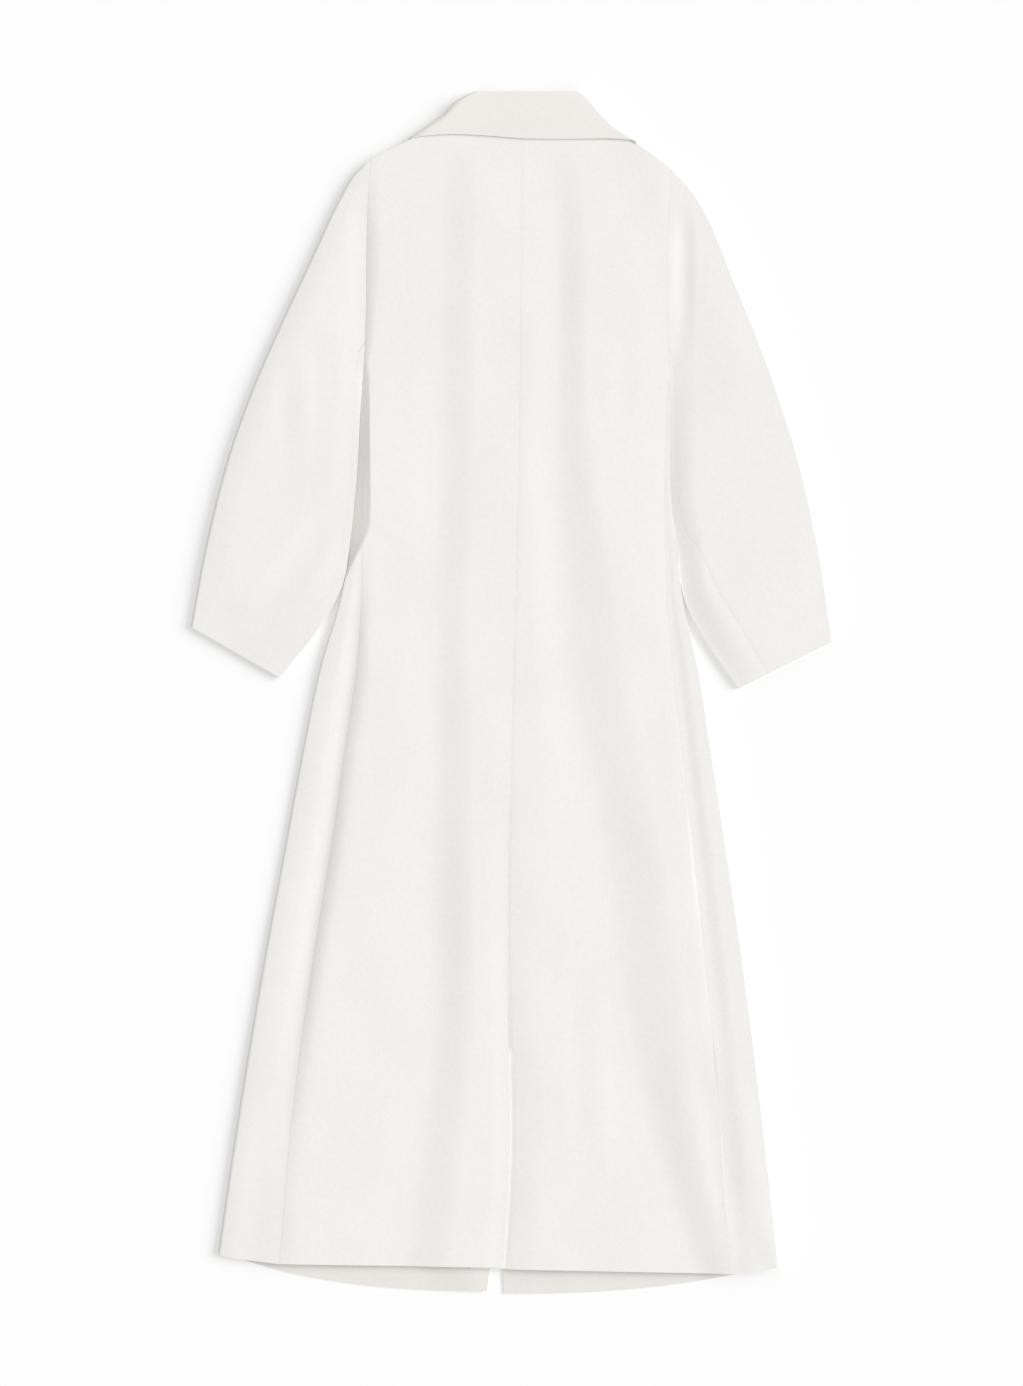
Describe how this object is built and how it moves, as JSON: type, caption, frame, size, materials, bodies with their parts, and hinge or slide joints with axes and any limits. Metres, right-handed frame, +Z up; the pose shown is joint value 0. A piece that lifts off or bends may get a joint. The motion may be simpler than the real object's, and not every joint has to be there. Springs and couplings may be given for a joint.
{
  "type": "double-breasted coat",
  "caption": "Long wool coat with a turned-down collar, back vent, full sleeves and buttoned wrap-over fronts, laid flat on its front with its back uppermost.",
  "frame": {"origin": "centre of the coat's outline box, on the surface that it lies on", "axes": "+X towards the wearer's right side, +Y from the hem towards the collar, +Z up from the surface, through the fronts to the back"},
  "size_m": [0.7115, 1.333, 0.0152],
  "materials": {
    "wool_cloth": "matt ivory wool cloth with a short brushed nap",
    "button": "satin, horn-like, pale cream"
  },
  "bodies": {
    "root": {"back_left": "wool_cloth", "back_right": "wool_cloth", "front_left": "wool_cloth", "front_right": "wool_cloth", "sleeve_left_upper": "wool_cloth", "sleeve_left_under": "wool_cloth", "sleeve_right_upper": "wool_cloth", "sleeve_right_under": "wool_cloth", "collar_fall": "wool_cloth", "collar_stand": "wool_cloth", "lapel_left": "wool_cloth", "lapel_right": "wool_cloth", "button_upper_left": "button", "button_upper_right": "button", "button_lower_left": "button", "button_lower_right": "button"}
  },
  "joints": []
}
